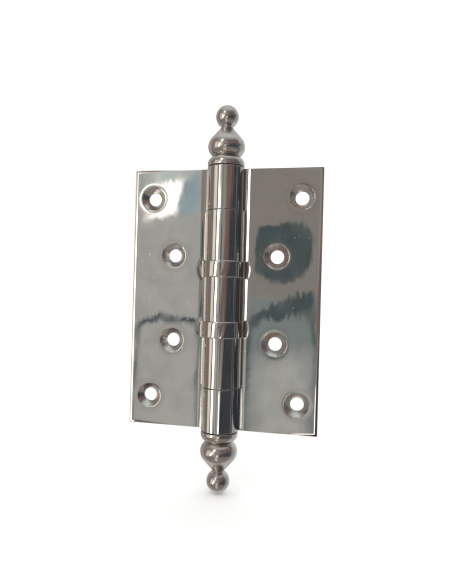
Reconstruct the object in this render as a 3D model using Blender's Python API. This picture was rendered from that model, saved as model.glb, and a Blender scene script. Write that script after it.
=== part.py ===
"""Ball-bearing butt hinge with turned finials, opened flat.

The pin stands along +Z through the origin, which is at the middle of the barrel. The countersunk
faces of both leaves look along -Y. The jamb leaf is at +X and carries the end and centre knuckles;
the door leaf is at -X and carries the two knuckles between them. A thrust bearing sits on each side
of the centre knuckle, and a finial closes each end of the barrel.
"""

import math

import bmesh
import bpy
from mathutils import Vector

MM = 0.001

# Leaves
LEAF_HEIGHT = 101.6 * MM
OPEN_WIDTH = 75.0 * MM
LEAF_THICKNESS = 3.0 * MM
CLOSED_GAP = 1.4 * MM  # between the two leaves when they are folded together
LEAF_FRONT = CLOSED_GAP / 2
LEAF_BACK = LEAF_FRONT + LEAF_THICKNESS

# Screw holes, given from the pin's axis and from the middle of the leaf
OUTER_HOLE = (29.5 * MM, 39.4 * MM)
INNER_HOLE = (20.5 * MM, 16.8 * MM)
HOLE_RADIUS = 2.6 * MM
COUNTERSINK_RADIUS = 4.75 * MM
COUNTERSINK_HALF_ANGLE = math.radians(45)

# Barrel, from its middle outwards
KNUCKLE_RADIUS = 7.2 * MM
CENTRE_KNUCKLE = 16.4 * MM
BEARING_HEIGHT = 6.7 * MM
INNER_KNUCKLE = 19.15 * MM
KNUCKLE_GAP = 0.3 * MM
EASED_EDGE = 0.3 * MM
KNUCKLE_RELIEF = (0.45 * MM, 0.3 * MM)  # beyond the other leaf's knuckles, and its corner radius
SLEEVE_RELIEF = (0.8 * MM, 1.2 * MM)  # beyond the bearing sleeves, and its corner radius
FRONT_FILLET = 2.0 * MM
BACK_FILLET = 1.5 * MM

# Pin
PIN_RADIUS = 4.0 * MM
BORE_RADIUS = 4.1 * MM
PIN_SETBACK = 0.4 * MM  # of the shank's end inside the end knuckle
SPIGOT_RADIUS = 2.4 * MM
SPIGOT_REACH = 8.0 * MM  # beyond the barrel
PIN_CHAMFER = 0.4 * MM

# Thrust bearing
SLEEVE_RADIUS = 8.4 * MM
SLEEVE_CHAMFER = 0.45 * MM
RACE_RADIUS = 7.1 * MM
RACE_SPACING = 1.2 * MM  # between the two races' flat faces
RACE_SEAT = 0.03 * MM  # between a race and the knuckle it bears on
RUNNING_FIT = 0.1 * MM
BALL_COUNT = 10
BALL_RADIUS = 1.0 * MM
BALL_CIRCLE = (RACE_RADIUS + BORE_RADIUS) / 2
CAGE_THICKNESS = 0.6 * MM
CAGE_SIDE_GAP = 0.3 * MM

# Finials, with heights from the end of the barrel outwards
FINIAL_GAP = 0.3 * MM
SKIRT_RIM = 1.3 * MM  # where the skirt stops being straight
GROOVE_RADIUS = 4.6 * MM
BULB_RADIUS = 7.2 * MM
BULB_HEIGHT = 8.1 * MM
BULB_UNDERSIDE = 4.2 * MM  # radius of the bulb's curve below its widest point
BULB_SHOULDER = 5.05 * MM  # and above it
CONE_ANGLE = math.radians(41)  # of the bulb's straight upper side, from the axis
NECK_RADIUS = 2.35 * MM
NECK_FILLET = 1.3 * MM
FINIAL_BALL_RADIUS = 4.45 * MM
SOCKET_RADIUS = SPIGOT_RADIUS + RUNNING_FIT
SOCKET_DEPTH = 9.0 * MM

BARREL_SEGMENTS = 36
HOLE_SEGMENTS = 24
FINIAL_SEGMENTS = 24
RACE_SEGMENTS = 24
POCKET_SEGMENTS = 10
FILLET_STEPS = 4
WELD = 0.001 * MM


# ---------------------------------------------------------------- scene and mesh helpers


def clear_scene():
    for obj in list(bpy.data.objects):
        bpy.data.objects.remove(obj, do_unlink=True)


def metal(name, colour, roughness):
    made = bpy.data.materials.new(name)
    made.use_nodes = True
    shader = made.node_tree.nodes["Principled BSDF"]
    shader.inputs["Base Color"].default_value = (*colour, 1.0)
    shader.inputs["Metallic"].default_value = 1.0
    shader.inputs["Roughness"].default_value = roughness
    return made


def empty(name, height=0.0):
    """The parent of everything that turns together. It sits on the pin's axis."""
    made = bpy.data.objects.new(name, None)
    made.location.z = height
    bpy.context.scene.collection.objects.link(made)
    return made


def place(name, mesh, material, parent, location=(0.0, 0.0, 0.0), flipped=False):
    """One named piece on the body that carries it. A flipped piece is turned over about X."""
    made = bpy.data.objects.new(name, mesh)
    bpy.context.scene.collection.objects.link(made)
    if not mesh.materials:
        mesh.materials.append(material)
    made.parent = parent
    made.location = location
    made.rotation_euler.x = math.pi if flipped else 0.0
    return made


def cutter(name, mesh, location=(0.0, 0.0, 0.0)):
    """A shape that cuts a piece and isn't one itself."""
    made = bpy.data.objects.new(name, mesh)
    bpy.context.scene.collection.objects.link(made)
    made.location = location
    made.hide_render = True
    made.display_type = "WIRE"
    return made


def carve(obj, cutters):
    """Cut a piece with each cutter in turn, and put the cutters away."""
    for tool in cutters:
        modifier = obj.modifiers.new(tool.name, "BOOLEAN")
        modifier.operation = "DIFFERENCE"
        modifier.solver = "EXACT"
        modifier.object = tool
    evaluated = obj.evaluated_get(bpy.context.evaluated_depsgraph_get())
    mesh = bpy.data.meshes.new_from_object(evaluated)
    obj.modifiers.clear()
    obj.data = mesh
    shade(mesh)
    for tool in cutters:
        bpy.data.objects.remove(tool, do_unlink=True)


def shade(mesh, smooth_below=28.0):
    mesh.shade_smooth()
    mesh.set_sharp_from_angle(angle=math.radians(smooth_below))


def finish_mesh(bm, name, smooth_below=28.0):
    bmesh.ops.remove_doubles(bm, verts=bm.verts, dist=WELD)
    bmesh.ops.recalc_face_normals(bm, faces=bm.faces)
    mesh = bpy.data.meshes.new(name)
    bm.to_mesh(mesh)
    bm.free()
    shade(mesh, smooth_below)
    return mesh


def turned(name, profile, segments):
    """An outline of (radius, height) points, spun round Z. It closes itself, or ends on the axis."""
    bm = bmesh.new()
    verts = [bm.verts.new((radius, 0.0, height)) for radius, height in profile]
    edges = [bm.edges.new(pair) for pair in zip(verts, verts[1:])]
    if profile[0][0] > 0:
        edges.append(bm.edges.new((verts[-1], verts[0])))
    bmesh.ops.spin(
        bm,
        geom=verts + edges,
        cent=(0, 0, 0),
        axis=(0, 0, 1),
        angle=math.tau,
        steps=segments,
        use_merge=True,
    )
    return finish_mesh(bm, name)


def extruded(name, outline, height, eased_beyond):
    """A closed outline of (x, y) points, drawn out along Z about its middle.

    Both ends' edges are eased, and so is each edge along Z whose x is further out than the limit.
    """
    bm = bmesh.new()
    face = bm.faces.new([bm.verts.new((x, y, -height / 2)) for x, y in outline])
    made = bmesh.ops.extrude_face_region(bm, geom=[face])
    lifted = [item for item in made["geom"] if isinstance(item, bmesh.types.BMVert)]
    bmesh.ops.translate(bm, verts=lifted, vec=(0, 0, height))
    eased = []
    for edge in bm.edges:
        start, stop = edge.verts[0].co, edge.verts[1].co
        if start.z == stop.z or abs(start.x) > eased_beyond:
            eased.append(edge)
    bmesh.ops.bevel(bm, geom=eased, offset=EASED_EDGE, segments=1, affect="EDGES")
    return finish_mesh(bm, name)


def arc(centre, radius, start, end, steps):
    """Points from the start angle to the end angle, both included."""
    angles = [start + (end - start) * i / steps for i in range(steps + 1)]
    return [
        (centre[0] + radius * math.cos(a), centre[1] + radius * math.sin(a))
        for a in angles
    ]


# ---------------------------------------------------------------- barrel layout


def barrel_stretches():
    """(owner, bottom, top) of each length of the barrel, from its lower end to its upper end."""
    centre = CENTRE_KNUCKLE / 2
    bearing = centre + BEARING_HEIGHT
    inner = bearing + INNER_KNUCKLE
    end = LEAF_HEIGHT / 2
    upper = [("bearing", centre, bearing), ("door", bearing, inner), ("jamb", inner, end)]
    lower = [(owner, -top, -bottom) for owner, bottom, top in reversed(upper)]
    return lower + [("jamb", -centre, centre)] + upper


def relief_profile(stretch):
    """The outline of the space that a leaf leaves round a length of barrel that isn't its own.

    Its ends run up and out past the knuckle radius, which eases the rims of the knuckles beside it.
    """
    owner, bottom, top = stretch
    if owner == "bearing":
        radius, corner = SLEEVE_RADIUS + SLEEVE_RELIEF[0], SLEEVE_RELIEF[1]
    else:
        radius, corner = KNUCKLE_RADIUS + KNUCKLE_RELIEF[0], KNUCKLE_RELIEF[1]
    low = bottom - KNUCKLE_GAP / 2
    high = top + KNUCKLE_GAP / 2
    past = EASED_EDGE / 2
    rise = EASED_EDGE + past
    points = [(0, low), (KNUCKLE_RADIUS - EASED_EDGE, low), (KNUCKLE_RADIUS + past, low - rise)]
    steps = FILLET_STEPS if owner == "bearing" else 1
    middle = radius - corner
    points += arc((middle, low - rise + corner), corner, -math.pi / 2, 0, steps)
    points += arc((middle, high + rise - corner), corner, 0, math.pi / 2, steps)
    points += [(KNUCKLE_RADIUS + past, high + rise), (KNUCKLE_RADIUS - EASED_EDGE, high), (0, high)]
    return points


# ---------------------------------------------------------------- leaves


def leaf_outline(side):
    """The section that a leaf is cut from: its plate, two fillets and a solid round barrel."""
    front_y = LEAF_FRONT - FRONT_FILLET
    front_x = math.sqrt((KNUCKLE_RADIUS + FRONT_FILLET) ** 2 - front_y**2)
    back_y = LEAF_BACK + BACK_FILLET
    back_x = math.sqrt((KNUCKLE_RADIUS + BACK_FILLET) ** 2 - back_y**2)
    front_angle = math.atan2(front_y, front_x)
    back_angle = math.atan2(back_y, back_x)
    edge = OPEN_WIDTH / 2
    points = [(edge, LEAF_FRONT), (edge, LEAF_BACK)]
    points += arc((back_x, back_y), BACK_FILLET, -math.pi / 2, back_angle - math.pi, FILLET_STEPS)
    for i in range(BARREL_SEGMENTS + 1):
        angle = math.tau * i / BARREL_SEGMENTS
        if back_angle < angle < math.tau + front_angle:
            points.append((KNUCKLE_RADIUS * math.cos(angle), KNUCKLE_RADIUS * math.sin(angle)))
    points += arc(
        (front_x, front_y), FRONT_FILLET, math.pi + front_angle, math.pi / 2, FILLET_STEPS
    )
    return [(side * x, y) for x, y in points]


def screw_cutter_mesh():
    """A countersunk screw's outline along Z, with the leaf's front face at height 0."""
    cone = (COUNTERSINK_RADIUS - HOLE_RADIUS) / math.tan(COUNTERSINK_HALF_ANGLE)
    above = LEAF_THICKNESS / 2
    flare = COUNTERSINK_RADIUS + above * math.tan(COUNTERSINK_HALF_ANGLE)
    profile = [
        (0, -LEAF_THICKNESS * 2),
        (HOLE_RADIUS, -LEAF_THICKNESS * 2),
        (HOLE_RADIUS, -cone),
        (flare, above),
        (0, above),
    ]
    return turned("screw_cutter", profile, HOLE_SEGMENTS)


def bore_cutter_mesh():
    reach = LEAF_HEIGHT  # long enough to pass right through the barrel
    profile = [(0, -reach), (BORE_RADIUS, -reach), (BORE_RADIUS, reach), (0, reach)]
    return turned("bore_cutter", profile, BARREL_SEGMENTS)


def build_leaf(owner, side, parent, material):
    """A plate with its knuckles: the section drawn to full height, then cut away."""
    name = f"{owner}_leaf"
    mesh = extruded(name, leaf_outline(side), LEAF_HEIGHT, OPEN_WIDTH / 2 - WELD)
    leaf = place(name, mesh, material, parent)
    cutters = []
    for stretch in barrel_stretches():
        if stretch[0] != owner:
            relief = turned("relief_cutter", relief_profile(stretch), BARREL_SEGMENTS)
            cutters.append(cutter("relief_cutter", relief))
    cutters.append(cutter("bore_cutter", bore_cutter_mesh()))
    screw_mesh = screw_cutter_mesh()
    for x, z in (OUTER_HOLE, INNER_HOLE):
        for end in (1, -1):
            screw = cutter("screw_cutter", screw_mesh, (side * x, LEAF_FRONT, end * z))
            screw.rotation_euler.x = math.pi / 2
            cutters.append(screw)
    carve(leaf, cutters)


# ---------------------------------------------------------------- pin and finials


def pin_mesh():
    """A plain shank with a reduced spigot at each end, where a finial screws on."""
    shank = LEAF_HEIGHT / 2 - PIN_SETBACK
    tip = LEAF_HEIGHT / 2 + SPIGOT_REACH
    upper = [
        (PIN_RADIUS, shank - PIN_CHAMFER),
        (PIN_RADIUS - PIN_CHAMFER, shank),
        (SPIGOT_RADIUS, shank),
        (SPIGOT_RADIUS, tip - PIN_CHAMFER),
        (SPIGOT_RADIUS - PIN_CHAMFER, tip),
        (0, tip),
    ]
    lower = [(radius, -height) for radius, height in reversed(upper)]
    return turned("hinge_pin", lower + upper, BARREL_SEGMENTS)


def finial_profile():
    """The turned outline: up the socket's bore, out along the base and up the outside to the tip."""
    points = [
        (0, SOCKET_DEPTH),
        (SOCKET_RADIUS, SOCKET_DEPTH),
        (SOCKET_RADIUS, FINIAL_GAP),
        (KNUCKLE_RADIUS - EASED_EDGE, FINIAL_GAP),
        (KNUCKLE_RADIUS, FINIAL_GAP + EASED_EDGE),
    ]
    # The bulb's underside starts at the groove.
    under_x = BULB_RADIUS - BULB_UNDERSIDE
    under_angle = -math.acos((GROOVE_RADIUS - under_x) / BULB_UNDERSIDE)
    groove_height = BULB_HEIGHT + BULB_UNDERSIDE * math.sin(under_angle)
    # The skirt domes in from its rim to the groove as a quarter of an ellipse.
    dome_width = KNUCKLE_RADIUS - GROOVE_RADIUS
    dome_height = groove_height - SKIRT_RIM
    for x, y in arc((0, 0), 1.0, 0, math.pi / 2, 4)[:-1]:
        points.append((GROOVE_RADIUS + dome_width * x, SKIRT_RIM + dome_height * y))
    points += arc((under_x, BULB_HEIGHT), BULB_UNDERSIDE, under_angle, 0, 4)
    # Its shoulder turns into a cone, which meets the neck in a small fillet.
    shoulder_x = BULB_RADIUS - BULB_SHOULDER
    points += arc((shoulder_x, BULB_HEIGHT), BULB_SHOULDER, 0, CONE_ANGLE, 3)[1:]
    cone_radius, cone_height = points[-1]
    fillet_x = NECK_RADIUS + NECK_FILLET
    fillet_radius = fillet_x - NECK_FILLET * math.cos(CONE_ANGLE)
    fillet_height = cone_height + (cone_radius - fillet_radius) / math.tan(CONE_ANGLE)
    neck_height = fillet_height + NECK_FILLET * math.sin(CONE_ANGLE)
    points += arc((fillet_x, neck_height), NECK_FILLET, math.pi + CONE_ANGLE, math.pi, 2)
    # The ball starts where it is as wide as the neck.
    start = -math.acos(NECK_RADIUS / FINIAL_BALL_RADIUS)
    ball_height = neck_height - FINIAL_BALL_RADIUS * math.sin(start)
    points += arc((0, ball_height), FINIAL_BALL_RADIUS, start, math.pi / 2, 8)[1:-1]
    points.append((0, ball_height + FINIAL_BALL_RADIUS))
    return points


# ---------------------------------------------------------------- thrust bearings


def sleeve_mesh():
    """The plated collar round a bearing, centred on its own middle."""
    half = (BEARING_HEIGHT - KNUCKLE_GAP) / 2
    bore = RACE_RADIUS + RUNNING_FIT
    edge = SLEEVE_RADIUS - SLEEVE_CHAMFER
    profile = [
        (bore, -half),
        (edge, -half),
        (SLEEVE_RADIUS, SLEEVE_CHAMFER - half),
        (SLEEVE_RADIUS, half - SLEEVE_CHAMFER),
        (edge, half),
        (bore, half),
    ]
    return turned("bearing_sleeve", profile, BARREL_SEGMENTS)


def race_mesh():
    """The upper race, with the balls' track in its underside. Height 0 is the bearing's middle."""
    face = RACE_SPACING / 2
    top = (BEARING_HEIGHT + KNUCKLE_GAP) / 2 - RACE_SEAT
    track = BALL_RADIUS + RUNNING_FIT
    start = math.asin(face / track)
    profile = [(BORE_RADIUS, top), (BORE_RADIUS, face)]
    profile += arc((BALL_CIRCLE, 0), track, math.pi - start, start, 6)
    profile += [(RACE_RADIUS, face), (RACE_RADIUS, top)]
    return turned("bearing_race", profile, RACE_SEGMENTS)


def cage_mesh():
    half = CAGE_THICKNESS / 2
    inner = PIN_RADIUS + CAGE_SIDE_GAP
    outer = RACE_RADIUS + RUNNING_FIT - CAGE_SIDE_GAP
    profile = [(inner, -half), (outer, -half), (outer, half), (inner, half)]
    return turned("ball_cage", profile, RACE_SEGMENTS)


def ball_place(index):
    angle = math.tau * index / BALL_COUNT
    return Vector((BALL_CIRCLE * math.cos(angle), BALL_CIRCLE * math.sin(angle), 0.0))


def pocket_cutter_mesh():
    """One mesh of ten separate posts, which pierces the cage where the balls run."""
    bm = bmesh.new()
    for i in range(BALL_COUNT):
        made = bmesh.ops.create_cone(
            bm,
            cap_ends=True,
            segments=POCKET_SEGMENTS,
            radius1=BALL_RADIUS + RUNNING_FIT,
            radius2=BALL_RADIUS + RUNNING_FIT,
            depth=CAGE_THICKNESS * 3,
        )
        bmesh.ops.translate(bm, verts=made["verts"], vec=ball_place(i))
    return finish_mesh(bm, "pocket_cutter")


def ball_mesh():
    bm = bmesh.new()
    bmesh.ops.create_icosphere(bm, subdivisions=2, radius=BALL_RADIUS)
    return finish_mesh(bm, "bearing_ball", smooth_below=60.0)


def build_bearing(label, height, upper_side, lower_side, jamb, meshes, materials):
    """Sleeve, two races, a cage and its balls. The cage and the balls turn as one group."""
    group = empty(f"{label}_cage_group", height)
    where = (0.0, 0.0, height)
    steel = materials["steel"]
    place(f"{label}_bearing_sleeve", meshes["sleeve"], materials["plated"], jamb, where)
    place(f"{label}_bearing_top_race", meshes["race"], steel, upper_side, where)
    place(f"{label}_bearing_bottom_race", meshes["race"], steel, lower_side, where, flipped=True)
    cage = place(f"{label}_ball_cage", meshes["cage"], materials["brass"], group)
    carve(cage, [cutter("pocket_cutter", meshes["pockets"], where)])
    for i in range(BALL_COUNT):
        place(f"{label}_ball_{i + 1:02d}", meshes["ball"], steel, group, ball_place(i))


# ---------------------------------------------------------------- assembly


def main():
    clear_scene()
    materials = {
        "plated": metal("polished_nickel", (0.66, 0.63, 0.59), 0.06),
        "steel": metal("bearing_steel", (0.56, 0.57, 0.58), 0.18),
        "brass": metal("brass", (0.78, 0.6, 0.3), 0.3),
    }
    plated = materials["plated"]
    jamb = empty("jamb_side")
    door = empty("door_side")
    build_leaf("jamb", 1, jamb, plated)
    build_leaf("door", -1, door, plated)

    pin = empty("pin_group")
    end = LEAF_HEIGHT / 2
    finial = turned("finial", finial_profile(), FINIAL_SEGMENTS)
    place("hinge_pin", pin_mesh(), materials["steel"], pin)
    place("top_finial", finial, plated, pin, (0, 0, end))
    place("bottom_finial", finial, plated, pin, (0, 0, -end), flipped=True)

    meshes = {
        "sleeve": sleeve_mesh(),
        "race": race_mesh(),
        "cage": cage_mesh(),
        "pockets": pocket_cutter_mesh(),
        "ball": ball_mesh(),
    }
    height = (CENTRE_KNUCKLE + BEARING_HEIGHT) / 2
    build_bearing("upper", height, door, jamb, jamb, meshes, materials)
    build_bearing("lower", -height, jamb, door, jamb, meshes, materials)


main()
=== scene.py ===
"""Looks for the ball-bearing butt hinge: fine leaves, finials and collars in polished nickel."""

import math

import bmesh
import bpy
from mathutils import Matrix, Vector


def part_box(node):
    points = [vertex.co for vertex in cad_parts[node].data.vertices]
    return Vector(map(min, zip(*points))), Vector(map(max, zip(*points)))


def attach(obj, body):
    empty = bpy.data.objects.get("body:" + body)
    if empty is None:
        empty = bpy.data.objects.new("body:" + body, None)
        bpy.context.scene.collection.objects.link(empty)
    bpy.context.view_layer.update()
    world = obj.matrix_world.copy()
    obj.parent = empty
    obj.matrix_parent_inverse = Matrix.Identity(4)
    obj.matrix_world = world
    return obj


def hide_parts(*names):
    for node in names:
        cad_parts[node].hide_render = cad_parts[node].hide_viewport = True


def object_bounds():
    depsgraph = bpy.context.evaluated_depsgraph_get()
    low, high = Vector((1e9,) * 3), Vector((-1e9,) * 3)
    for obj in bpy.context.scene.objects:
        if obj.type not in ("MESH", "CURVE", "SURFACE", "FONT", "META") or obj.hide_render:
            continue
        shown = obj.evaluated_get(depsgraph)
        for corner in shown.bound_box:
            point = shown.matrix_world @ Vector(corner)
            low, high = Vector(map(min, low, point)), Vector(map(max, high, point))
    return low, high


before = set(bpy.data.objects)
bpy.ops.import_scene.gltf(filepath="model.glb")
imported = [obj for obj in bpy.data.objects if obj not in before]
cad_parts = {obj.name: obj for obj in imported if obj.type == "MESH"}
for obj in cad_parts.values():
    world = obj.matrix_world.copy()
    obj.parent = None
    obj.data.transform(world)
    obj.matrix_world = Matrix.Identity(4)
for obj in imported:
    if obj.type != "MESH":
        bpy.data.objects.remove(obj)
CAD_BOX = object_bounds()

MM = 0.001
WELD = 0.0005 * MM

# ---------------------------------------------------------------- sizes

HALF_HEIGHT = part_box("jamb_leaf")[1].z
LEAF_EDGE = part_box("jamb_leaf")[1].x
BARREL_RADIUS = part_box("top_finial")[1].x
SLEEVE_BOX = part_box("upper_bearing_sleeve")

# Sizes that no box shows
LEAF_FRONT = 0.7 * MM
LEAF_BACK = 3.7 * MM
BACK_FILLET = 1.5 * MM
BORE_RADIUS = 4.1 * MM
SLEEVE_BORE = 7.2 * MM
BEARING_GAP = 0.3 * MM  # between a collar and the knuckle beside it, as in the frame
END_JOINT = 34.05 * MM  # from the middle of the barrel to the joint under the end knuckle
JOINT_GAP = 0.22 * MM
RIM_ROUND = 0.2 * MM
EDGE_ROUND = 0.3 * MM
KNUCKLE_RELIEF = (0.45 * MM, 0.3 * MM)  # beyond the other leaf's knuckles, and its corner radius
COLLAR_RELIEF = (0.25 * MM, 5.5 * MM)  # beyond the bearing collars, and the radius of its curve

# Polishing has rolled the leaves' front edges over. Beside the barrel the roll is nearly a bevel on
# the jamb leaf, and softer on the door leaf. It starts at this distance from the pin's axis, and
# each of its arcs is (radius, slope where it ends), from the flat face towards the barrel.
ROLL_START = {"jamb": 9.55 * MM, "door": 9.85 * MM}
ROLL_ARCS = {
    "jamb": (
        (1.0 * MM, math.radians(9.6)),
        (70.0 * MM, math.radians(10.6)),
        (0.9 * MM, math.radians(50)),
    ),
    "door": (
        (2.0 * MM, math.radians(1.0)),
        (14.0 * MM, math.radians(9.0)),
        (0.9 * MM, math.radians(50)),
    ),
}
GROOVE_RADIUS = 0.9 * MM  # of the hollow between a leaf and its own knuckles
EDGE_ROLL = (1.3 * MM, 3.8 * MM)  # the width and radius of the roll along the other edges

# How far the screw holes lie from the pin's axis, and above or below the middle
HOLES = ((29.5 * MM, 39.4 * MM), (20.5 * MM, 16.8 * MM))
HOLE_RADIUS = 2.6 * MM
COUNTERSINK_RADIUS = 4.75 * MM
COUNTERSINK_ROUND = 0.12 * MM
DISH_RADIUS = 6.3 * MM  # where the polishing mop starts to sink towards a countersink
DISH_SLOPE = math.radians(3.5)

ROUND_SEGMENTS = 144
HOLE_SEGMENTS = 72
FINIAL_SEGMENTS = 96


# ---------------------------------------------------------------- mesh helpers


def arc(centre, radius, start, end, steps):
    """Points from the start angle to the end angle, both included."""
    angles = [start + (end - start) * i / steps for i in range(steps + 1)]
    return [(centre[0] + radius * math.cos(a), centre[1] + radius * math.sin(a)) for a in angles]


def mesh_from(bm, name):
    """Turn the bmesh into a mesh with its doubles merged and its faces turned outwards."""
    bmesh.ops.remove_doubles(bm, verts=bm.verts, dist=WELD)
    bmesh.ops.recalc_face_normals(bm, faces=bm.faces)
    mesh = bpy.data.meshes.new(name)
    bm.to_mesh(mesh)
    bm.free()
    return mesh


def turned(name, profile, segments):
    """An outline of (radius, height) points, spun round Z. It closes itself, or ends on the axis."""
    bm = bmesh.new()
    verts = [bm.verts.new((radius, 0.0, height)) for radius, height in profile]
    edges = [bm.edges.new(pair) for pair in zip(verts, verts[1:])]
    if profile[0][0] > 0:
        edges.append(bm.edges.new((verts[-1], verts[0])))
    bmesh.ops.spin(
        bm,
        geom=verts + edges,
        cent=(0, 0, 0),
        axis=(0, 0, 1),
        angle=math.tau,
        steps=segments,
        use_merge=True,
    )
    return mesh_from(bm, name)


def put(name, mesh, materials, location=(0, 0, 0)):
    obj = bpy.data.objects.new(name, mesh)
    bpy.context.scene.collection.objects.link(obj)
    obj.location = location
    for material in materials:
        mesh.materials.append(material)
    return obj


def shade(obj, smooth_below=30.0):
    """Smooth shading in which the larger faces keep their own direction."""
    obj.data.shade_smooth()
    obj.data.set_sharp_from_angle(angle=math.radians(smooth_below))
    weighted = obj.modifiers.new("weighted_normals", "WEIGHTED_NORMAL")
    weighted.keep_sharp = True


def declare(obj, body, slot, *nodes):
    """The piece rides on the body and replaces the nodes."""
    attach(obj, body)
    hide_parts(*nodes)


# ---------------------------------------------------------------- leaves


def barrel_stretches():
    """(owner, bottom, top) of each length of the barrel, from its lower end to its upper end."""
    centre = SLEEVE_BOX[0].z - BEARING_GAP / 2
    bearing = SLEEVE_BOX[1].z + BEARING_GAP / 2
    upper = [
        ("bearing", centre, bearing),
        ("door", bearing, END_JOINT),
        ("jamb", END_JOINT, HALF_HEIGHT),
    ]
    lower = [(owner, -top, -bottom) for owner, bottom, top in reversed(upper)]
    return lower + [("jamb", -centre, centre)] + upper


def relief_profile(owner, bottom, top):
    """The outline of the space that a leaf leaves round a length of barrel that isn't its own.

    Its ends turn over the rims of the knuckles beside it, and run out past them.
    """
    low = bottom - JOINT_GAP / 2
    high = top + JOINT_GAP / 2
    past = 0.12 * MM
    rim = BARREL_RADIUS - RIM_ROUND
    rise = RIM_ROUND + past / 2
    points = [(0, low)]
    points += arc((rim, low - RIM_ROUND), RIM_ROUND, math.pi / 2, 0, 4)
    points.append((BARREL_RADIUS + past, low - rise))
    if owner == "bearing":
        curve = COLLAR_RELIEF[1]
        reach = math.asin(((high - low) / 2 + rise) / curve)
        centre = (SLEEVE_BOX[1].x + COLLAR_RELIEF[0] - curve, (low + high) / 2)
        points += arc(centre, curve, -reach, reach, 16)
    else:
        corner = KNUCKLE_RELIEF[1]
        wall = BARREL_RADIUS + KNUCKLE_RELIEF[0] - corner
        points += arc((wall, low - rise + corner), corner, -math.pi / 2, 0, 4)
        points += arc((wall, high + rise - corner), corner, 0, math.pi / 2, 4)
    points.append((BARREL_RADIUS + past, high + rise))
    points += arc((rim, high + RIM_ROUND), RIM_ROUND, 0, -math.pi / 2, 4)
    points.append((0, high))
    return points


def roll_profile(owner, steps=8):
    """(distance, depth) points of the roll, from the end of the flat face."""
    points = [(0.0, 0.0)]
    slope = 0.0
    for radius, end_slope in ROLL_ARCS[owner]:
        x, depth = points[-1]
        for i in range(1, steps + 1):
            angle = slope + (end_slope - slope) * i / steps
            across = radius * (math.sin(angle) - math.sin(slope))
            down = radius * (math.cos(slope) - math.cos(angle))
            points.append((x + across, depth + down))
        slope = end_slope
    return points


def leaf_outline(owner, side):
    """A leaf's section: its plate, rolled over into a groove, and a solid round barrel."""
    back_y = LEAF_BACK + BACK_FILLET
    back_x = math.sqrt((BARREL_RADIUS + BACK_FILLET) ** 2 - back_y**2)
    back_angle = math.atan2(back_y, back_x)
    # The bevel is an arc of a wide circle, and the groove touches it and the barrel.
    roll_start = ROLL_START[owner]
    turn_radius, turn = ROLL_ARCS[owner][0]
    bevel_radius = ROLL_ARCS[owner][1][0]
    apart = bevel_radius - turn_radius
    bevel = Vector(
        (
            roll_start + apart * math.sin(turn),
            LEAF_FRONT + turn_radius + apart * math.cos(turn),
        )
    )
    near = BARREL_RADIUS + GROOVE_RADIUS
    far = bevel_radius + GROOVE_RADIUS
    spread = math.acos((near**2 + bevel.length_squared - far**2) / (2 * near * bevel.length))
    front_angle = math.atan2(bevel.y, bevel.x) - spread
    groove = Vector((math.cos(front_angle), math.sin(front_angle))) * near
    slope = math.atan2(bevel.y - groove.y, bevel.x - groove.x)
    straight_down = math.pi * 1.5

    points = [(LEAF_EDGE, LEAF_FRONT), (LEAF_EDGE, LEAF_BACK)]
    points += arc((back_x, back_y), BACK_FILLET, -math.pi / 2, back_angle - math.pi, 10)
    points += arc((0, 0), BARREL_RADIUS, back_angle, math.tau + front_angle, ROUND_SEGMENTS)[1:-1]
    points += arc(groove, GROOVE_RADIUS, math.pi + front_angle, slope, 12)
    points += arc(bevel, bevel_radius, math.pi + slope, straight_down - turn, 8)[1:]
    points += arc(
        (roll_start, LEAF_FRONT + turn_radius), turn_radius, straight_down - turn, straight_down, 5
    )[1:]
    return [(side * x, y) for x, y in points]


def leaf_blank(name, owner, side):
    """The section drawn to full height, with its ends and its free edge rounded."""
    bm = bmesh.new()
    outline = leaf_outline(owner, side)
    face = bm.faces.new([bm.verts.new((x, y, -HALF_HEIGHT)) for x, y in outline])
    made = bmesh.ops.extrude_face_region(bm, geom=[face])
    lifted = [item for item in made["geom"] if isinstance(item, bmesh.types.BMVert)]
    bmesh.ops.translate(bm, verts=lifted, vec=(0, 0, 2 * HALF_HEIGHT))
    rounded = []
    for edge in bm.edges:
        start, stop = edge.verts[0].co, edge.verts[1].co
        if start.z == stop.z or abs(start.x) > LEAF_EDGE - WELD:
            rounded.append(edge)
    bmesh.ops.bevel(bm, geom=rounded, offset=EDGE_ROUND, segments=4, profile=0.5, affect="EDGES")
    return mesh_from(bm, name)


def fading_slope(start, width, depth, steps):
    """(distance, height) points of a hollow that is deepest at the start and fades to nothing."""
    points = []
    for i in range(steps):
        left = 1 - i / steps
        points.append((start + width * (1 - left), -depth * left**2))
    clear = 0.3 * MM
    rise = depth * 0.02
    return points + [(start + width + clear, rise)]


def edge_cutter_mesh(length):
    """A bar along X that rolls an edge over. The edge is the line y = 0 and z = 0."""
    width, radius = EDGE_ROLL
    depth = radius - math.sqrt(radius**2 - width**2)
    over = 1 * MM
    hollow = fading_slope(0, width, depth, 10)
    slope = 2 * depth / width
    outline = [(over, -depth - over * slope)] + [(-x, y) for x, y in hollow]
    outline += [(-hollow[-1][0], over), (over, over)]
    bm = bmesh.new()
    face = bm.faces.new([bm.verts.new((-length / 2, -height, z)) for z, height in outline])
    made = bmesh.ops.extrude_face_region(bm, geom=[face])
    lifted = [item for item in made["geom"] if isinstance(item, bmesh.types.BMVert)]
    bmesh.ops.translate(bm, verts=lifted, vec=(length, 0, 0))
    return mesh_from(bm, "edge_cutter")


def roll_cutter_outline(owner, start):
    """The space over the roll, as (distance, height) points that count inwards from the start."""
    deeper = 0.015 * MM
    over = 0.6 * MM
    lead_in = (start + 0.15 * MM, 0.01 * MM)
    rolled = [(start - x, -depth - deeper) for x, depth in roll_profile(owner)]
    return [lead_in] + rolled + [(rolled[-1][0], over), (start, over)]


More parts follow.
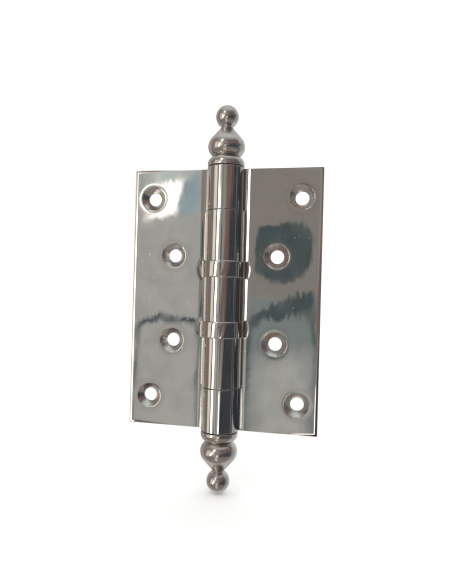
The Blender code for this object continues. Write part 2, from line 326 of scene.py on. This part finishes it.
def bevel_cutter_mesh(owner, length):
    """Rolls a leaf's edge over beside the other leaf's knuckle. It is centred on the axis, along Z."""
    bm = bmesh.new()
    outline = roll_cutter_outline(owner, ROLL_START[owner])
    face = bm.faces.new([bm.verts.new((x, -h, -length / 2)) for x, h in outline])
    made = bmesh.ops.extrude_face_region(bm, geom=[face])
    lifted = [item for item in made["geom"] if isinstance(item, bmesh.types.BMVert)]
    bmesh.ops.translate(bm, verts=lifted, vec=(0, 0, length))
    return mesh_from(bm, "bevel_cutter")


def collar_cutter_mesh(owner):
    """The roll round a collar's relief: a sector of a shallow dish about Z, opening towards +X."""
    outline = roll_cutter_outline(owner, COLLAR_RELIEF[1] + roll_profile(owner)[-1][0])
    half_sweep = math.radians(38)
    turn = Matrix.Rotation(-half_sweep, 3, "Z")
    bm = bmesh.new()
    face = bm.faces.new([bm.verts.new(turn @ Vector((r, 0, h))) for r, h in outline])
    bmesh.ops.spin(
        bm, geom=[face], cent=(0, 0, 0), axis=(0, 0, 1), angle=2 * half_sweep, steps=24
    )
    return mesh_from(bm, "collar_cutter")


def screw_cutter_mesh(plated, bare):
    """A countersunk screw's outline along Z, with the leaf's front face at height 0."""
    deep = -4 * MM
    cone = math.radians(45)
    points = [(0, deep), (HOLE_RADIUS, deep)]
    # The slope of the dish fades evenly from the rim of the countersink out to nothing.
    width = DISH_RADIUS - COUNTERSINK_RADIUS
    depth = width * math.tan(DISH_SLOPE) / 2
    points.append((HOLE_RADIUS, -depth - (COUNTERSINK_RADIUS - HOLE_RADIUS)))
    reach = COUNTERSINK_ROUND * math.tan((cone - DISH_SLOPE) / 2)
    rim = (COUNTERSINK_RADIUS, -depth)
    points += [
        (rim[0] - reach * math.cos(cone), rim[1] - reach * math.sin(cone)),
        (rim[0] + reach * math.cos(DISH_SLOPE), rim[1] + reach * math.sin(DISH_SLOPE)),
    ]
    points += fading_slope(COUNTERSINK_RADIUS, width, depth, 8)[1:]
    top = 3 * MM
    points += [(points[-1][0], top), (0, top)]
    mesh = turned("screw_cutter", points, HOLE_SEGMENTS)
    mesh.materials.append(plated)
    mesh.materials.append(bare)
    for face in mesh.polygons:
        if Vector(face.center[:2]).length < COUNTERSINK_RADIUS:
            face.material_index = 1
    return mesh


def carve(obj, cutters):
    """Take every cutter out of the piece at once. New faces keep their cutter's material."""
    group = bpy.data.collections.new("cutters")
    for tool in cutters:
        group.objects.link(tool)
    modifier = obj.modifiers.new("carve", "BOOLEAN")
    modifier.operation = "DIFFERENCE"
    modifier.solver = "EXACT"
    modifier.operand_type = "COLLECTION"
    modifier.collection = group
    modifier.use_self = True
    modifier.material_mode = "TRANSFER"
    evaluated = obj.evaluated_get(bpy.context.evaluated_depsgraph_get())
    obj.data = bpy.data.meshes.new_from_object(evaluated)
    obj.modifiers.clear()
    for tool in cutters:
        bpy.data.objects.remove(tool, do_unlink=True)
    bpy.data.collections.remove(group)


def edge_cutters(owner, side, plated):
    """One bar along the free edge, and one along each end that runs out towards the barrel."""
    mesh = edge_cutter_mesh(4 * HALF_HEIGHT)
    mesh.materials.append(plated)
    run_out = math.atan(EDGE_ROLL[0] / (LEAF_EDGE - ROLL_START[owner]))
    cutters = []
    for spin, x, z in (
        (side * math.pi / 2, side * LEAF_EDGE, 0),
        (side * run_out, side * LEAF_EDGE, HALF_HEIGHT),
        (math.pi - side * run_out, side * LEAF_EDGE, -HALF_HEIGHT),
    ):
        bar = put("edge_cutter", mesh, [], (x, LEAF_FRONT, z))
        bar.rotation_euler.y = spin
        cutters.append(bar)
    return cutters


def collar_cutters(owner, side, plated):
    """One at each bearing."""
    mesh = collar_cutter_mesh(owner)
    mesh.materials.append(plated)
    centre_x = SLEEVE_BOX[1].x + COLLAR_RELIEF[0] - COLLAR_RELIEF[1]
    middle = (SLEEVE_BOX[0].z + SLEEVE_BOX[1].z) / 2
    cutters = []
    for z in (middle, -middle):
        tool = put("collar_cutter", mesh, [], (side * centre_x, LEAF_FRONT, z))
        tool.rotation_euler = (math.pi / 2, 0 if side > 0 else math.pi, 0)
        cutters.append(tool)
    return cutters


def build_leaf(owner, side, plated, bare):
    name = f"fine_{owner}_leaf"
    leaf = put(name, leaf_blank(name, owner, side), [plated])
    cutters = edge_cutters(owner, side, plated) + collar_cutters(owner, side, plated)
    for stretch in barrel_stretches():
        if stretch[0] != owner:
            relief = turned("relief_cutter", relief_profile(*stretch), ROUND_SEGMENTS)
            cutters.append(put("relief_cutter", relief, [bare]))
        if stretch[0] not in (owner, "bearing"):
            length = stretch[2] - stretch[1] + JOINT_GAP + 2 * RIM_ROUND
            bevel = bevel_cutter_mesh(owner, length)
            middle = (stretch[1] + stretch[2]) / 2
            bar = put("bevel_cutter", bevel, [plated], (0, LEAF_FRONT, middle))
            half_turn = 0 if side > 0 else math.pi
            bar.rotation_euler = (half_turn, 0, half_turn)
            cutters.append(bar)
    reach = HALF_HEIGHT * 2
    bore = [(0, -reach), (BORE_RADIUS, -reach), (BORE_RADIUS, reach), (0, reach)]
    cutters.append(put("bore_cutter", turned("bore_cutter", bore, HOLE_SEGMENTS), [bare]))
    screw_mesh = screw_cutter_mesh(plated, bare)
    for x, z in HOLES:
        for end in (1, -1):
            screw = put("screw_cutter", screw_mesh, [], (side * x, LEAF_FRONT, end * z))
            screw.rotation_euler.x = math.pi / 2
            cutters.append(screw)
    carve(leaf, cutters)
    shade(leaf)
    return leaf


# ---------------------------------------------------------------- finials and collars


def finial_profile():
    """The turned outline from the base's bore, out and up to the tip. Height 0 is the barrel's end."""
    gap = 0.3 * MM
    base_round = 0.3 * MM
    socket_radius = 2.5 * MM
    socket_depth = 9.0 * MM
    skirt_rim = 1.3 * MM
    groove_radius = 4.6 * MM
    bulb_height = 8.1 * MM
    underside = 4.2 * MM
    shoulder = 5.05 * MM
    cone_angle = math.radians(41)
    neck_radius = 2.35 * MM
    neck_fillet = 1.3 * MM
    ball_radius = 4.45 * MM

    points = [(0, socket_depth), (socket_radius, socket_depth), (socket_radius, gap)]
    points += arc(
        (BARREL_RADIUS - base_round, gap + base_round), base_round, -math.pi / 2, 0, 4
    )
    under_x = BARREL_RADIUS - underside
    under_angle = -math.acos((groove_radius - under_x) / underside)
    groove_height = bulb_height + underside * math.sin(under_angle)
    dome = (BARREL_RADIUS - groove_radius, groove_height - skirt_rim)
    for x, y in arc((0, 0), 1.0, 0, math.pi / 2, 14)[:-1]:
        points.append((groove_radius + dome[0] * x, skirt_rim + dome[1] * y))
    points += arc((under_x, bulb_height), underside, under_angle, 0, 16)
    shoulder_x = BARREL_RADIUS - shoulder
    points += arc((shoulder_x, bulb_height), shoulder, 0, cone_angle, 14)[1:]
    cone_radius, cone_height = points[-1]
    fillet_x = neck_radius + neck_fillet
    fillet_radius = fillet_x - neck_fillet * math.cos(cone_angle)
    fillet_height = cone_height + (cone_radius - fillet_radius) / math.tan(cone_angle)
    neck_height = fillet_height + neck_fillet * math.sin(cone_angle)
    for i in range(1, 5):
        t = i / 5
        points.append(
            (
                cone_radius + (fillet_radius - cone_radius) * t,
                cone_height + (fillet_height - cone_height) * t,
            )
        )
    points += arc((fillet_x, neck_height), neck_fillet, math.pi + cone_angle, math.pi, 8)
    start = -math.acos(neck_radius / ball_radius)
    ball_height = neck_height - ball_radius * math.sin(start)
    points += arc((0, ball_height), ball_radius, start, math.pi / 2, 36)[1:-1]
    points.append((0, ball_height + ball_radius))
    return points


def build_finial(name, node, end, turned_metal):
    mesh = turned(name, [(r, h + HALF_HEIGHT) for r, h in finial_profile()], FINIAL_SEGMENTS)
    if end < 0:
        mesh.transform(Matrix.Rotation(math.pi, 4, "X"))
    finial = put(name, mesh, [turned_metal])
    shade(finial, 35.0)
    declare(finial, "pin", "polished_nickel", node)


def collar_profile(low, high, radius):
    """A plain ring with well rounded rims and a face that is crowned a little."""
    rim = 0.5 * MM
    crown = 0.05 * MM
    middle = (low + high) / 2
    half = (high - low) / 2 - rim
    points = [(SLEEVE_BORE, low)]
    points += arc((radius - crown - rim, low + rim), rim, -math.pi / 2, 0, 6)
    for i in range(-5, 6):
        t = i / 6
        points.append((radius - crown * t * t, middle + half * t))
    points += arc((radius - crown - rim, high - rim), rim, 0, math.pi / 2, 6)
    points.append((SLEEVE_BORE, high))
    return points


def build_collar(name, node, plated):
    low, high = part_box(node)
    mesh = turned(name, collar_profile(low.z, high.z, high.x), ROUND_SEGMENTS)
    collar = put(name, mesh, [plated])
    shade(collar, 35.0)
    declare(collar, "jamb", "polished_nickel", node)


# ---------------------------------------------------------------- node helpers


class Graph:
    """Builds one node tree. An input takes a number, a tuple or another node's output."""

    def __init__(self, tree):
        self.tree = tree

    def add(self, kind, *inputs, output=0, settings=None, **named):
        made = self.tree.nodes.new(f"ShaderNode{kind}")
        for key, value in (settings or {}).items():
            setattr(made, key, value)
        for key, value in list(enumerate(inputs)) + list(named.items()):
            if value is None:
                continue
            socket = made.inputs[key.replace("_", " ") if isinstance(key, str) else key]
            if isinstance(value, bpy.types.NodeSocket):
                self.tree.links.new(value, socket)
            else:
                socket.default_value = value
        return made.outputs[output]

    def math(self, operation, *inputs, clamp=False):
        return self.add("Math", *inputs, settings={"operation": operation, "use_clamp": clamp})

    def total(self, *values):
        result = values[0]
        for value in values[1:]:
            result = self.math("ADD", result, value)
        return result

    def ramp(self, value, start, stop, low=0.0, high=1.0):
        """Straight-line change from low at start to high at stop, and held beyond them."""
        return self.add("MapRange", value, start, stop, low, high)

    def mix(self, amount, first, second):
        return self.add("MixRGB", amount, first, second)

    def stretched(self, coordinates, scale):
        """The coordinates times a number for each axis."""
        settings = {"operation": "MULTIPLY"}
        return self.add("VectorMath", coordinates, scale, settings=settings)

    def noise(self, coordinates, scale, detail=2.0, roughness=0.5, output=0):
        return self.add(
            "TexNoise",
            Vector=coordinates,
            Scale=scale,
            Detail=detail,
            Roughness=roughness,
            output=output,
        )


def new_material(name):
    """A material with its Principled shader, its graph and its own place in millimetres."""
    material = bpy.data.materials.new(name)
    material.use_nodes = True
    graph = Graph(material.node_tree)
    shader = material.node_tree.nodes["Principled BSDF"]
    place = graph.add("TexCoord", output=3)
    millimetres = graph.stretched(place, (1000, 1000, 1000))
    return material, graph, shader, millimetres


def connect(graph, shader, colour, roughness, normal):
    """Link the three maps to the shader, and make it a metal."""
    links = graph.tree.links
    links.new(colour, shader.inputs["Base Color"])
    links.new(roughness, shader.inputs["Roughness"])
    links.new(normal, shader.inputs["Normal"])
    shader.inputs["Metallic"].default_value = 1.0


def bump(graph, height, distance, normal=None):
    """Height 0 to 1 as a relief this many millimetres deep."""
    return graph.add("Bump", Strength=1.0, Distance=distance * MM, Height=height, Normal=normal)


def specks(graph, place, spacing, radius, share):
    """Small round marks: one in each cell of the spacing, kept in a share of the cells."""
    settings = {"feature": "F1"}
    near = graph.add("TexVoronoi", Vector=place, Scale=1 / spacing, settings=settings)
    colour = graph.add("TexVoronoi", Vector=place, Scale=1 / spacing, settings=settings, output=1)
    pick = graph.add("SeparateColor", colour)
    size = graph.math("MULTIPLY", near, spacing)
    dot = graph.ramp(size, radius, radius * 0.5)
    return graph.math("MULTIPLY", dot, graph.math("LESS_THAN", pick, share))


def scratches(graph, place, length, width, share):
    """Hairlines: noise drawn out along Z, of which only the peaks show."""
    drawn = graph.stretched(place, (1 / width, 1 / width, 1 / length))
    return graph.ramp(graph.noise(drawn, 1.0, 1.0), 1 - share, 1 - share * 0.6)


# ---------------------------------------------------------------- materials


def from_nearest_hole(graph, place):
    """Distance from the middle of the nearest screw hole. Both leaves and both ends are alike."""
    x, z = (graph.add("SeparateXYZ", place, output=i) for i in (0, 2))
    folded = graph.add("CombineXYZ", graph.math("ABSOLUTE", x), 0.0, graph.math("ABSOLUTE", z))
    settings = {"operation": "DISTANCE"}
    distances = [
        graph.add("VectorMath", folded, (hole[0] / MM, 0, hole[1] / MM), output=1, settings=settings)
        for hole in HOLES
    ]
    return graph.math("MINIMUM", *distances)


def polished_nickel(name):
    """Bright nickel plate: ripple, mop streaks along the barrel, smears, hairlines and pits."""
    material, graph, shader, place = new_material(name)
    ripple = graph.noise(place, 0.09, 1.0)
    peel = graph.noise(place, 0.6, 1.0)
    streaks = graph.noise(graph.stretched(place, (2.6, 2.6, 0.1)), 1.0, 3.0, 0.6)
    smears = graph.noise(graph.stretched(place, (0.16, 0.16, 0.08)), 1.0, 4.0, 0.62)
    hairlines = scratches(graph, place, 9.0, 0.12, 0.3)
    pits = specks(graph, place, 1.8, 0.19, 0.2)
    # Buffing compound has dried in a faint ring round each countersink, on the front only.
    radius = from_nearest_hole(graph, place)
    ring = graph.math(
        "MULTIPLY", graph.ramp(radius, 7.6, 6.2), graph.ramp(radius, 4.6, 5.2), clamp=True
    )
    depth = graph.add("SeparateXYZ", place, output=1)
    ring = graph.math("MULTIPLY", ring, graph.ramp(depth, 2.7, 1.7))

    warm = (0.685, 0.655, 0.615, 1)
    cool = (0.635, 0.63, 0.605, 1)
    tarnish = (0.56, 0.52, 0.46, 1)
    fresh = (0.9, 0.88, 0.85, 1)
    colour = graph.mix(graph.ramp(smears, 0.35, 0.65), cool, warm)
    colour = graph.mix(graph.ramp(streaks, 0.55, 0.9, 0.0, 0.3), colour, tarnish)
    colour = graph.mix(graph.math("MULTIPLY", ring, 0.35), colour, tarnish)
    colour = graph.mix(graph.math("MULTIPLY", pits, 0.6), colour, fresh)

    roughness = graph.total(
        graph.ramp(smears, 0.4, 0.75, 0.012, 0.07),
        graph.ramp(streaks, 0.45, 0.8, 0.0, 0.015),
        graph.math("MULTIPLY", ring, 0.04),
        graph.math("MULTIPLY", hairlines, 0.1),
        graph.math("MULTIPLY", pits, 0.4),
    )
    normal = bump(graph, ripple, 0.025)
    normal = bump(graph, peel, 0.0012, normal)
    normal = bump(graph, streaks, 0.0003, normal)
    normal = bump(graph, graph.math("SUBTRACT", 1.0, pits), 0.01, normal)
    connect(graph, shader, colour, roughness, normal)
    return material


def turned_nickel(name):
    """The finials: lathe-turned and plated, with a satin haze and darker bands along the turning."""
    material, graph, shader, place = new_material(name)
    turning = graph.noise(graph.stretched(place, (0.05, 0.05, 5.5)), 1.0, 3.0, 0.6)
    haze = graph.noise(place, 0.22, 3.0, 0.6)
    pits = specks(graph, place, 2.6, 0.14, 0.2)

    bright = (0.68, 0.65, 0.62, 1)
    dull = (0.6, 0.56, 0.53, 1)
    tarnish = (0.48, 0.43, 0.4, 1)
    fresh = (0.85, 0.82, 0.78, 1)
    colour = graph.mix(graph.ramp(haze, 0.35, 0.7), bright, dull)
    colour = graph.mix(graph.ramp(turning, 0.5, 0.8, 0.0, 0.35), colour, tarnish)
    colour = graph.mix(graph.math("MULTIPLY", pits, 0.5), colour, fresh)

    roughness = graph.total(
        graph.ramp(haze, 0.3, 0.75, 0.16, 0.22),
        graph.ramp(turning, 0.4, 0.7, 0.0, 0.05),
        graph.math("MULTIPLY", pits, 0.25),
    )
    normal = bump(graph, haze, 0.03)
    normal = bump(graph, turning, 0.0012, normal)
    connect(graph, shader, colour, roughness, normal)
    return material


def machined_nickel(name):
    """Plated but unpolished cuts: countersinks with their turning marks, bores and knuckle ends."""
    material, graph, shader, place = new_material(name)
    radius = from_nearest_hole(graph, place)
    marks = graph.noise(graph.add("CombineXYZ", radius, 0.0, 0.0), 2.6, 2.0, 0.6)
    stain = graph.noise(place, 0.4, 3.0, 0.6)

    clean = (0.78, 0.76, 0.73, 1)
    stained = (0.66, 0.62, 0.59, 1)
    tarnish = (0.48, 0.42, 0.4, 1)
    colour = graph.mix(graph.ramp(stain, 0.35, 0.7), clean, stained)
    colour = graph.mix(graph.ramp(marks, 0.45, 0.65, 0.0, 0.2), colour, tarnish)

    roughness = graph.total(
        graph.ramp(marks, 0.3, 0.7, 0.09, 0.17), graph.ramp(stain, 0.4, 0.7, 0.0, 0.08)
    )
    connect(graph, shader, colour, roughness, bump(graph, marks, 0.002))
    return material


def ground_steel(name):
    """The pin, the races and the balls: hard steel, ground fine, with a film of grease."""
    material, graph, shader, place = new_material(name)
    grain = graph.noise(graph.stretched(place, (1.2, 1.2, 14.0)), 1.0, 3.0, 0.6)
    grease = graph.noise(place, 0.35, 3.0, 0.6)
    clean = (0.56, 0.57, 0.58, 1)
    greased = (0.4, 0.36, 0.28, 1)
    colour = graph.mix(graph.ramp(grease, 0.45, 0.7), clean, greased)
    roughness = graph.total(
        graph.ramp(grain, 0.3, 0.7, 0.14, 0.28), graph.ramp(grease, 0.45, 0.7, 0.0, 0.15)
    )
    connect(graph, shader, colour, roughness, bump(graph, grain, 0.002))
    return material


def cage_brass(name):
    """Stamped brass, darker where the grease has stained it."""
    material, graph, shader, place = new_material(name)
    rolled = graph.noise(graph.stretched(place, (0.8, 7.0, 0.8)), 1.0, 3.0)
    stain = graph.noise(place, 0.6, 4.0, 0.65)
    clean = (0.78, 0.6, 0.3, 1)
    stained = (0.45, 0.3, 0.13, 1)
    colour = graph.mix(graph.ramp(stain, 0.4, 0.7), clean, stained)
    roughness = graph.total(
        graph.ramp(rolled, 0.3, 0.7, 0.22, 0.36), graph.ramp(stain, 0.4, 0.7, 0.0, 0.15)
    )
    connect(graph, shader, colour, roughness, bump(graph, rolled, 0.003))
    return material


def finish_nodes(steel, brass):
    """The hidden working parts keep their own shapes."""
    for name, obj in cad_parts.items():
        if "race" in name or "ball_0" in name or "ball_1" in name or name == "hinge_pin":
            obj.data.materials[0] = steel
        elif "cage" in name:
            obj.data.materials[0] = brass


# ---------------------------------------------------------------- surroundings

WHITE = (4.6, 4.4, 4.0)
CREAM = (1.25, 1.08, 0.92)
PALE = (0.53, 0.53, 0.51)
GREY = (0.38, 0.37, 0.34)
TAUPE = (0.32, 0.29, 0.27)
UMBER = (0.26, 0.215, 0.195)
COOL = (0.27, 0.31, 0.31)
SKY = (0.42, 0.53, 0.59)
GLARE = (3.0, 3.0, 2.9)
HAZE = (0.7, 0.75, 0.74)
STEEL = (0.22, 0.24, 0.26)
TEAL = (0.085, 0.115, 0.12)
BROWN = (0.25, 0.145, 0.13)
COFFEE = (0.15, 0.1, 0.095)
NAVY = (0.045, 0.05, 0.06)

STUDIO_WHITE = (1.25, 1.25, 1.25)
WALL = (0.46, 0.44, 0.43)
WALL_FOOT = (0.72, 0.68, 0.63)
WALL_TOP = (0.66, 0.64, 0.62)

# What the polished metal reflects: soft patches on a far sphere, the later ones over the earlier.
# Each is (colour, left, right, low, high, lean, climb, corner, blur). The angles are in degrees:
# azimuth from the front view with + to the right, and height above the horizon. Lean is how far
# the patch moves right for each degree of height, and climb how far it rises for each to the right.
ROOM = [
    # In the barrel, the collars and the finials
    (PALE, -70, -12, -20, 26, 0.0, 0.0, 8, 6),
    (GREY, -14, 14, -20, 26, 0.0, 0.0, 8, 4),
    (UMBER, -94, -66, -40, 40, 0.0, 0.0, 8, 4),
    (CREAM, -64, -56, -22, 22, 0.35, 0.0, 4, 1.5),
    (CREAM, -54, -46, -22, 22, 0.35, 0.0, 4, 1.5),
    (COFFEE, -45.5, -40, -20, 20, 0.5, 0.0, 2, 1.5),
    (WHITE, -38, -29, -20, 14, 0.5, 0.0, 4, 1),
    (CREAM, -24, -17, 9, 24, 0.6, 0.0, 4, 1.5),
    (CREAM, -13, 3, -62, -32, 0.0, 0.0, 6, 8),
    (COFFEE, 24, 96, -12, 40, 0.0, 0.0, 8, 6),
    (BROWN, 12, 30, -22, 30, 2.0, 0.0, 4, 2),
    (NAVY, 30, 78, -24, 16, 2.0, 0.0, 4, 3),
    (NAVY, 44, 96, -24, 9, 0.0, 0.0, 4, 4),
    (STEEL, 82, 86, -24, 24, 0.0, 0.0, 2, 2),
    (WHITE, 2, 6, -24, -11.5, 0.3, 0.0, 3, 1.5),
    # Behind the hinge
    (HAZE, 136, 173, -40, 45, 0.2, 0.0, 12, 10),
    (TAUPE, -175, -140, -30, 30, -0.3, 0.0, 12, 12),
    # In the door leaf
    (PALE, -22, -13, -20, 20, 0.0, 0.0, 2, 1),
    (HAZE, -20.6, -15.2, 10.4, 24, 0.1, 0.1, 2, 2.4),
    (GLARE, -26, -13, 25, 45, 0.0, 0.0, 6, 4),
    (GLARE, -20.0, -16.9, 8.2, 11.3, 0.2, 0.3, 1.2, 0.9),
    (SKY, -17.0, -14.8, 8.0, 12.2, 0.1, 0.3, 1.2, 0.7),
    (TEAL, -21.6, -14.3, -24, -3.1, 0.0, 0.0, 3, 0.3),
    (PALE, -21.3, -14.75, -24, -3.7, 0.0, 0.0, 3, 0.4),
    # In the jamb leaf
    (TAUPE, -11.5, -0.5, -1.2, 26, 0.0, 0.0, 1, 1),
    (COOL, -11.5, -0.5, -22, -1.2, 0.0, 0.0, 1, 1),
    (TEAL, -8.7, -2.4, 0.9, 7.4, 0.0, 0.1, 4.4, 0.2),
    (TEAL, -9.6, -1.95, -24, -1.4, 0.0, 0.5, 3, 0.25),
    (COOL, -8.9, -2.35, -24, -3.1, 0.0, 0.3, 3, 0.5),
    (PALE, -8.6, -2.4, -24, -7.0, 0.0, 0.2, 4, 2.5),
]


def patch_cover(graph, azimuth, height, left, right, low, high, lean, climb, corner, blur):
    """How far a direction lies inside one patch of the room, from 0 to 1 across its blur."""
    aside = graph.math("SUBTRACT", azimuth, (left + right) / 2)
    up = graph.math("SUBTRACT", height, (low + high) / 2)
    across = graph.math("MULTIPLY_ADD", up, -lean, aside) if lean else aside
    along = graph.math("MULTIPLY_ADD", aside, -climb, up) if climb else up
    inside = graph.math(
        "SMOOTH_MIN",
        graph.math("SUBTRACT", (right - left) / 2, graph.math("ABSOLUTE", across)),
        graph.math("SUBTRACT", (high - low) / 2, graph.math("ABSOLUTE", along)),
        corner,
    )
    return graph.ramp(inside, -blur / 2, blur / 2)


def room_colour(graph):
    """A dim room in front of the hinge, with its patches, and a pale wall behind it."""
    direction = graph.add("TexCoord", output=0)
    x, y, z = (graph.add("SeparateXYZ", direction, output=i) for i in range(3))
    degrees = math.degrees(1.0)
    ahead = graph.math("MULTIPLY", y, -1.0)
    azimuth = graph.math("MULTIPLY", graph.math("ARCTAN2", x, ahead), degrees)
    height = graph.math("MULTIPLY", graph.math("ARCSINE", z), degrees)
    # Outlines wander slowly both ways, and are combed into teeth up and down, longer on the right.
    spot = graph.add("CombineXYZ", azimuth, height, 0.0)
    drift = graph.noise(spot, 0.25, 2.0, output=1)
    wander = [graph.add("SeparateXYZ", drift, output=i) for i in range(2)]
    teeth = graph.noise(graph.stretched(spot, (3.2, 0.12, 1.0)), 1.0, 2.0, 0.7)
    teeth = graph.math(
        "MULTIPLY", graph.ramp(teeth, 0.3, 0.8, -0.6, 0.8), graph.ramp(azimuth, -14, -11, 0.5, 1.0)
    )
    azimuth = graph.total(azimuth, graph.ramp(wander[0], 0.25, 0.75, -0.35, 0.35))
    height = graph.total(height, graph.ramp(wander[1], 0.25, 0.75, -0.45, 0.45), teeth)
    wall = graph.mix(graph.ramp(height, -60, -20), (*WALL_FOOT, 1), (*WALL, 1))
    wall = graph.mix(graph.ramp(height, 10, 60), wall, (*WALL_TOP, 1))
    colour = graph.mix(graph.ramp(height, -60, -30), (*TAUPE, 1), (*UMBER, 1))
    colour = graph.mix(graph.ramp(height, 40, 70), colour, (*HAZE, 1))
    colour = graph.mix(graph.ramp(y, 0.02, 0.16), colour, wall)
    clouds = graph.noise(spot, 0.4, 4.0, 0.55)
    for tint, *outline in ROOM:
        cover = patch_cover(graph, azimuth, height, *outline)
        colour = graph.mix(cover, colour, (*tint, 1))
    return graph.mix(graph.ramp(clouds, 0.42, 0.75, 0.0, 0.32), colour, (*STEEL, 1))


def light_world():
    """Plain white to the eye and on the floor; the metal sees the room."""
    world = bpy.data.worlds.new("studio")
    bpy.context.scene.world = world
    world.use_nodes = True
    graph = Graph(world.node_tree)
    background = world.node_tree.nodes["Background"]
    glossy = graph.add("LightPath", output=3)
    colour = graph.mix(glossy, (*STUDIO_WHITE, 1), room_colour(graph))
    world.node_tree.links.new(colour, background.inputs["Color"])


def lay_floor():
    below = 0.4 * MM
    reach = 3.0
    bm = bmesh.new()
    bmesh.ops.create_grid(bm, x_segments=8, y_segments=8, size=reach)
    mesh = mesh_from(bm, "floor")
    material, graph, shader, place = new_material("floor")
    grain = graph.noise(place, 0.02, 4.0)
    colour = graph.mix(grain, (0.97, 0.97, 0.965, 1), (0.985, 0.985, 0.98, 1))
    connect(graph, shader, colour, graph.ramp(grain, 0, 1, 0.7, 0.8), bump(graph, grain, 0.05))
    shader.inputs["Metallic"].default_value = 0.0
    floor = put("floor", mesh, [material], (0, 0, CAD_BOX[0].z - below))
    floor.visible_glossy = False


def place_camera():
    """Level with the middle of the hinge and a little to the jamb's side, leaning slightly left."""
    azimuth = math.radians(11.74)
    elevation = math.radians(0.33)
    roll = math.radians(-1.52)
    distance = 201.8 * MM
    target = Vector((1.24, 0.0, 2.83)) * MM
    away = Vector(
        (
            math.sin(azimuth) * math.cos(elevation),
            -math.cos(azimuth) * math.cos(elevation),
            math.sin(elevation),
        )
    )
    right = Vector((0, 0, 1)).cross(away).normalized()
    turn = Matrix.Rotation(roll, 3, -away)
    right = turn @ right
    up = away.cross(right)
    camera = bpy.data.objects.new("camera", bpy.data.cameras.new("camera"))
    bpy.context.scene.collection.objects.link(camera)
    camera.matrix_world = Matrix.Translation(target + away * distance) @ Matrix(
        (right, up, away)
    ).transposed().to_4x4()
    camera.data.sensor_fit = "VERTICAL"
    camera.data.sensor_height = 36.0
    camera.data.lens = 32.05
    camera.data.clip_start = 0.005
    bpy.context.scene.camera = camera
    bpy.context.scene.view_settings.view_transform = "Standard"


# ---------------------------------------------------------------- assembly


def main():
    place_camera()
    light_world()
    lay_floor()

    plated = polished_nickel("polished_nickel")
    hazy = turned_nickel("turned_nickel")
    bare = machined_nickel("machined_nickel")
    for owner, side in (("jamb", 1), ("door", -1)):
        leaf = build_leaf(owner, side, plated, bare)
        declare(leaf, owner, "polished_nickel", f"{owner}_leaf")
    for label in ("upper", "lower"):
        build_collar(f"fine_{label}_collar", f"{label}_bearing_sleeve", plated)
    build_finial("fine_top_finial", "top_finial", 1, hazy)
    build_finial("fine_bottom_finial", "bottom_finial", -1, hazy)
    finish_nodes(ground_steel("ground_steel"), cage_brass("cage_brass"))


main()
